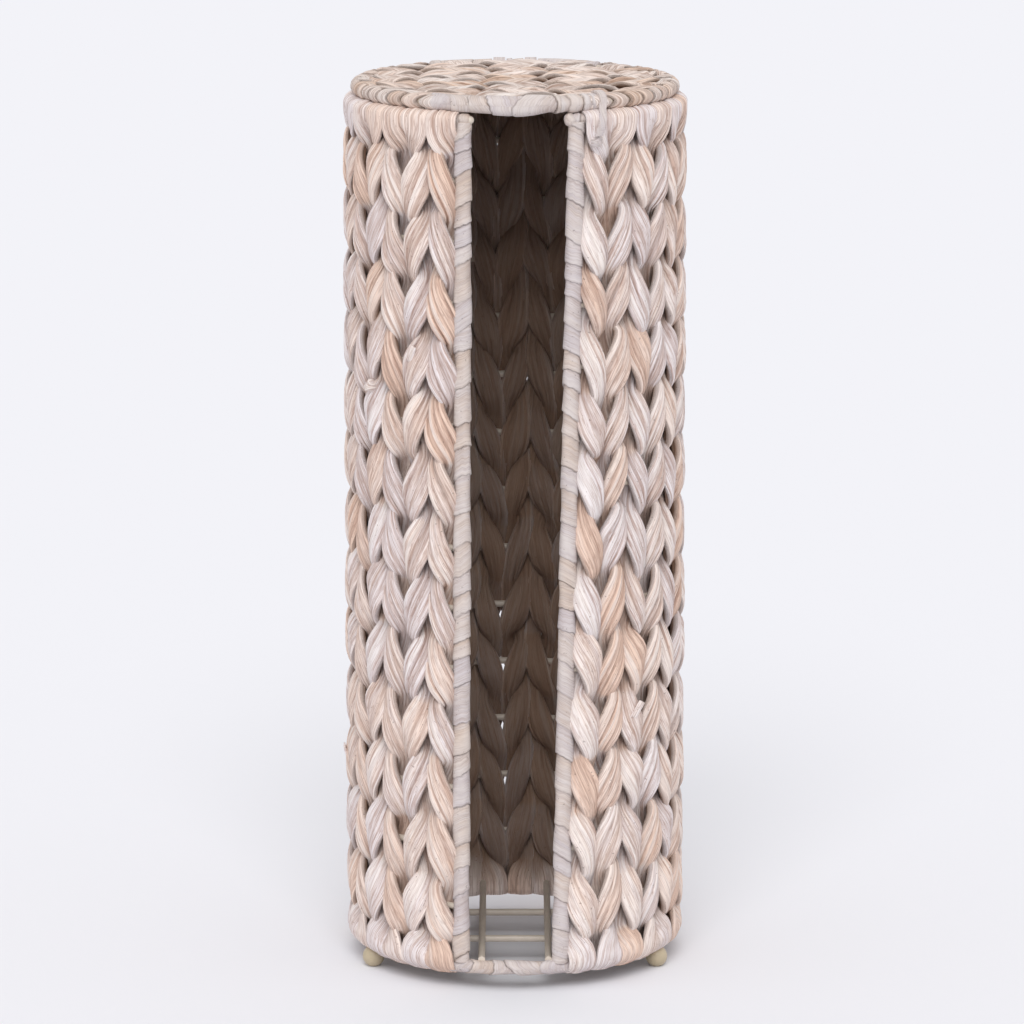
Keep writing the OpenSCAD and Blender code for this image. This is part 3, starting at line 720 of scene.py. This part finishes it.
def wound_arc(rng, ring_r, z, start, end, leaf_r, spacing, slant, taper=0.0, plump=0.0, sag=0.0):
    """Leaf round an arc of wire.

    The taper closes it down at its far end, and the sag lets its middle hang lower."""
    length = abs(end - start) * ring_r
    theta, level, along, facts = winding(rng, length, leaf_r, spacing, slant, plump)
    hang = np.clip(np.sin(math.pi * along / length), 0, 1) ** 2
    level = level + sag * hang * np.clip(-np.sin(theta), 0, 1)
    if taper:
        left = np.clip((length - along) / taper, 0, 1)
        level = level * np.sqrt(1 - (1 - left) ** 2 * 0.98)
    angle = start + math.copysign(1, end - start) * along / ring_r
    radius = ring_r + level * np.cos(theta)
    points = [radius * np.cos(angle), radius * np.sin(angle), z + level * np.sin(theta)]
    return np.stack(points, -1), facts


# smoother and greyer than the twisted leaf, with faint fibres round the wire and a few dark splits; each
# seam darkens with painted shade
binding_leaf = leaf("smooth wrapped leaf", "#cec5c7", "#d7ccc8", "#d5c3b6", "#9d8479", "#ded7d5",
                    "#4f3b30", streak=0.42, fold_shade=0.85, thin=0.2)

low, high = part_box("ring_binding")
RING_LEAF_R = (high[2] - low[2]) / 2
for side, post, way in (("left", left_post, 1), ("right", right_post, -1)):
    rng = np.random.default_rng(2000 + way)
    name = "post_binding_" + side
    post_leaf = wound_post(rng, post, RING_LOW + POST_START * RING_LEAF_R, RING_TOP - RING_R / 2,
                           -way * math.pi / 2)
    corner_leaf = wound_arc(
        rng, WALL_R, RING_TOP, post[1] - way * CORNER_BACK / WALL_R,
        post[1] + way * CORNER_REACH[side] / WALL_R, CORNER_LEAF_R, CORNER_TURN, CORNER_SLANT,
        taper=CORNER_TAPER)
    piece = tube_mesh(name + "_leaf", [post_leaf, corner_leaf], binding_leaf)
    settle(piece, "store", "leaf_binding", name)

rng = np.random.default_rng(2010)
ring_leaf = tube_mesh("ring_binding_leaf", [wound_arc(
    rng, WALL_R, RING_LOW, left_post[0] - 2 * math.pi - RING_OVERLAP / WALL_R,
    right_post[0] + RING_OVERLAP / WALL_R, RING_LEAF_R, RING_TURN, RING_SLANT)], binding_leaf)
settle(ring_leaf, "store", "leaf_binding", "ring_binding")

# The lid
# Twined rows of the same leaf run from left to right round the straight wires and fold over
# the ring at both ends. At the front and at the back smooth leaf is wound round the ring.
low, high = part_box("lid_ring")
LID_RING_R = (high[2] - low[2]) / 2
LID_R = (high[0] - low[0]) / 2 - LID_RING_R
LID_Z = (high[2] + low[2]) / 2
LID_HALF = 3.75 * MM
ROWS = 10
ROW_W = 2 * (LID_R - LID_HALF) / ROWS
LID_WIRE_PITCH = 2 * LID_R / 5
LEAST_LOBE = 9 * MM
LEAST_END = 0.25
STEEPEST = 2.2
LID_LOOK = {
    "lobe_w": ROW_W + 0.9 * MM, "lobe_t": 3.3 * MM, "cross_w": 7.2 * MM, "cross_t": 3.0 * MM,
    "fold_w": ROW_W / 2 - 1.3 * MM, "fold_t": 2.0 * MM, "half": LID_HALF, "ring_r": LID_RING_R,
    "sway": 3.3 * MM, "tilt": math.radians(32), "crease": 0.6 * MM, "patchy": 0.25,
    "apart": ROW_W / 2, "wrap": 0.92 * math.pi}
# the lid has caught more sun than the wall: it is warmer, with darker threads
lid_leaf = leaf("warm whitewashed leaf", "#ebe0da", "#f1e0d7", "#e4c9b6", "#9c7c6b", "#f4ece8",
                "#6b5348", fold_shade=0.5, thin=0.7)


def on_row(y):
    """Puts points given across, upwards and along onto a row, whose ends follow the ring."""
    middle = math.sqrt(LID_R ** 2 - y ** 2)

    def put(across, up, along):
        end = np.sqrt(np.maximum(LID_R ** 2 - (y + across) ** 2, (LEAST_END * LID_R) ** 2))
        outside = np.clip(np.abs(along) - middle, 0, None)
        slope = np.minimum(LID_R / end, STEEPEST)
        x = np.sign(along) * (np.minimum(np.abs(along), middle) / middle * end + outside * slope)
        return np.stack([x, y + across, LID_Z + up], -1)
    return put


for plait in range(1, ROWS // 2 + 1):
    rng = np.random.default_rng(3000 + plait)
    tubes = []
    for row in (2 * plait - 2, 2 * plait - 1):
        y = (row - (ROWS - 1) / 2) * ROW_W
        end = math.sqrt(LID_R ** 2 - y ** 2)
        # a wire too near the ring has no lobe of its own
        wires = [k * LID_WIRE_PITCH for k in range(-2, 3) if abs(k) * LID_WIRE_PITCH < end - LEAST_LOBE]
        put = on_row(y)
        way = 1 if row % 2 == 0 else -1
        for partner in (0, 1):
            points, facts = strand(rng, [-end] + wires + [end], partner, way, LID_LOOK,
                                   rng.uniform(0.2, 0.75))
            facts["seed"] = rng.uniform(0, 500)
            tubes.append((put(points[..., 0], points[..., 1], points[..., 2]), facts))
    name = f"lid_plait_{plait:02d}"
    settle(tube_mesh(name + "_strands", tubes, lid_leaf), "lid", "lid_weave", name)

RIM_ANGLE = math.radians(33)
SLOT_ANGLE = math.radians(16)
SLOT_SAG = 1.1 * MM
TIE_HALF = 3.4 * MM
TIE_X = 7 * MM
front = -math.pi / 2
back = math.pi / 2
rng = np.random.default_rng(3100)
# over the slot the leaf hangs a little, and to its right it is wound in short plump turns
rim_leaf = tube_mesh("lid_binding_front_leaf", [
    wound_arc(rng, LID_R, LID_Z, front - RIM_ANGLE, front - SLOT_ANGLE, LID_HALF,
              spacing=9 * MM, slant=2.2 * MM),
    wound_arc(rng, LID_R, LID_Z, front - SLOT_ANGLE, front + SLOT_ANGLE, LID_HALF,
              spacing=14 * MM, slant=2.6 * MM, sag=SLOT_SAG),
    wound_arc(rng, LID_R, LID_Z, front + SLOT_ANGLE, front + RIM_ANGLE, LID_HALF - 0.2 * MM,
              spacing=5 * MM, slant=1.0 * MM, plump=0.4 * MM)], binding_leaf)
settle(rim_leaf, "lid", "leaf_binding", "lid_binding_front")
# at the back it leaves the ring bare for the two ties
cuts = [-RIM_ANGLE, -(TIE_X + TIE_HALF) / LID_R, -(TIE_X - TIE_HALF) / LID_R,
        (TIE_X - TIE_HALF) / LID_R, (TIE_X + TIE_HALF) / LID_R, RIM_ANGLE]
rim_leaf = tube_mesh("lid_binding_back_leaf", [
    wound_arc(rng, LID_R, LID_Z, back + a, back + b, LID_HALF, spacing=14 * MM, slant=1.8 * MM)
    for a, b in zip(cuts[::2], cuts[1::2])], binding_leaf)
settle(rim_leaf, "lid", "leaf_binding", "lid_binding_back")

# The ties
# Narrow strips of smooth leaf, folded double. Two are looped round the lid's ring and the top
# ring as hinges, and one hangs from the rim in front, over a small knot that holds the lid shut.
TIE_T = 1.2 * MM
TIE_STEPS = 24
FOLD_CUTS = 2
LEAF_WAVE = 0.12 * MM
PRESSED = 0.3


def select_points(piece, wanted):
    """Opens a piece in edit mode with the wanted points selected and no others."""
    bpy.ops.object.select_all(action="DESELECT")
    piece.select_set(True)
    bpy.context.view_layer.objects.active = piece
    bpy.ops.object.mode_set(mode="EDIT")
    bpy.ops.mesh.select_mode(type="VERT")
    bpy.ops.mesh.select_all(action="DESELECT")
    shell = bmesh.from_edit_mesh(piece.data)
    for v in shell.verts:
        v.select_set(bool(wanted(v.co)))
    shell.select_flush_mode()
    bmesh.update_edit_mesh(piece.data)


def fold_strip(piece, name, thick, path, side, seed):
    """Folds a flat strip double, presses its edges and tells the leaf which way it runs."""
    piece.name = name
    select_points(piece, lambda co: True)
    bpy.ops.mesh.subdivide(number_cuts=FOLD_CUTS)
    bpy.ops.transform.vertex_random(offset=LEAF_WAVE, uniform=1.0, normal=0.0, seed=seed)
    bpy.ops.mesh.normals_make_consistent(inside=False)
    bpy.ops.object.mode_set(mode="OBJECT")
    doubled = piece.modifiers.new("folded double", "SOLIDIFY")
    doubled.thickness = thick
    doubled.offset = 0
    pressed = piece.modifiers.new("pressed edges", "BEVEL")
    pressed.width = PRESSED * thick
    pressed.segments = 3
    soft = piece.modifiers.new("soft", "SUBSURF")
    soft.levels = soft.render_levels = 1
    for modifier in (doubled, pressed, soft):
        bpy.ops.object.modifier_apply(modifier=modifier.name)
    bpy.ops.object.shade_smooth()
    points = np.array([v.co for v in piece.data.vertices])
    nearest = ((points[:, None] - path[None]) ** 2).sum(2).argmin(1)
    facts = {"tone": 0.3 + 0 * nearest, "length": run_of(path)[nearest], "girth": points @ side,
             "seed": seed + 0.0 * nearest}
    for key, value in facts.items():
        layer = piece.data.attributes.new(key, "FLOAT", "POINT")
        layer.data.foreach_set("value", value.astype(np.float32))
    piece.data.materials.append(binding_leaf)


for name, x in (("hinge_tie_left", -TIE_X), ("hinge_tie_right", TIE_X)):
    low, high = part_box(name)
    points = np.array([v.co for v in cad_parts[name].data.vertices])
    # the loop runs from the lid's ring down to the top ring, inside the node's outer face
    outer_r = high[2] - LID_Z
    top = Vector((x, LID_R, LID_Z))
    foot_y = points[points[:, 2] < low[2] + 0.3 * MM][:, 1].mean()
    down = Vector((x, foot_y, low[2] + outer_r)) - top
    bpy.ops.object.select_all(action="DESELECT")
    bpy.ops.mesh.primitive_cylinder_add(
        vertices=TIE_STEPS, radius=outer_r - TIE_T / 2, depth=high[0] - low[0],
        end_fill_type="NOTHING", location=top, rotation=(0, math.pi / 2, 0))
    tie = bpy.context.object
    bpy.ops.object.transform_apply(location=True, rotation=True, scale=True)
    select_points(tie, lambda co: (co - top).dot(down) > 0)
    bpy.ops.transform.translate(value=down)
    bpy.ops.object.mode_set(mode="OBJECT")
    round_it = sorted(tie.data.vertices, key=lambda v: math.atan2(*(v.co - top - down / 2).yz))
    path = np.array([[x, v.co.y, v.co.z] for v in round_it])
    fold_strip(tie, name + "_leaf", TIE_T, path, np.array([1.0, 0, 0]), 7)
    settle(tie, "store", "leaf_binding", name)

low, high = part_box("closing_knot")
KNOT_R = (high[2] - low[2]) / 2
TAB_W = 3.4 * MM
TAB_T = 1.1 * MM
TAB_TUCK = math.radians(158)
TAB_LEAVE = math.radians(8)
TAB_ASIDE = math.radians(4)
TAB_BOWS = 1.6 * MM
TAB_BENDS = 14
TAB_HANGS = 16
# the tab reaches the wall this much sooner than it reaches the knot
TAB_SOONER = 1.35
knot_at = np.array([(a + b) / 2 for a, b in zip(low, high)])
knot_angle = math.atan2(knot_at[1], knot_at[0])
tab_angle = knot_angle + TAB_ASIDE
rim_r = LID_HALF + TAB_T / 2 + RING_GAP
over_knot = WALL_R + WALL_HALF + TAB_BOWS - LID_R - rim_r
tab_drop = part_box("closing_tab")[0][2] - LID_Z - rim_r * math.sin(TAB_LEAVE)
# the tab comes round the rim from above and then hangs outside the wall as far as the knot
tab_line = [(LID_R + rim_r * math.cos(a), rim_r * math.sin(a), tab_angle)
            for a in np.linspace(TAB_TUCK, TAB_LEAVE, TAB_BENDS)]
tab_line += [(LID_R + rim_r + over_knot * float(smooth(TAB_SOONER * h)),
              rim_r * math.sin(TAB_LEAVE) + tab_drop * h,
              tab_angle + (knot_angle - tab_angle) * h) for h in np.linspace(0, 1, TAB_HANGS)[1:]]
path = np.array([[r * math.cos(a), r * math.sin(a), LID_Z + up] for r, up, a in tab_line])
outward = Vector((math.cos(tab_angle), math.sin(tab_angle), 0))
start = Vector(path[0])
bpy.ops.object.select_all(action="DESELECT")
bpy.ops.mesh.primitive_plane_add(
    size=TAB_W, location=start - outward * TAB_W / 2, rotation=(0, 0, tab_angle))
tab = bpy.context.object
bpy.ops.object.transform_apply(location=True, rotation=True, scale=True)
# of the square only the edge that is tucked under the rim stays, and it is drawn out to a strip
select_points(tab, lambda co: (co - start).dot(outward) < -TAB_W / 2)
bpy.ops.mesh.delete(type="VERT")
bpy.ops.mesh.select_all(action="SELECT")
for step in np.diff(path, axis=0):
    bpy.ops.mesh.extrude_edges_move(TRANSFORM_OT_translate={"value": tuple(step)})
bpy.ops.object.mode_set(mode="OBJECT")
fold_strip(tab, "closing_tab_leaf", TAB_T, path, np.array([-outward.y, outward.x, 0]), 11)
settle(tab, "lid", "leaf_binding", "closing_tab")

rng = np.random.default_rng(4200)
out_way = np.array([math.cos(knot_angle), math.sin(knot_angle), 0])
settle(tube_mesh("closing_knot_leaf", knot(rng, knot_at, out_way, KNOT_R), binding_leaf),
       "store", "leaf_binding", "closing_knot")
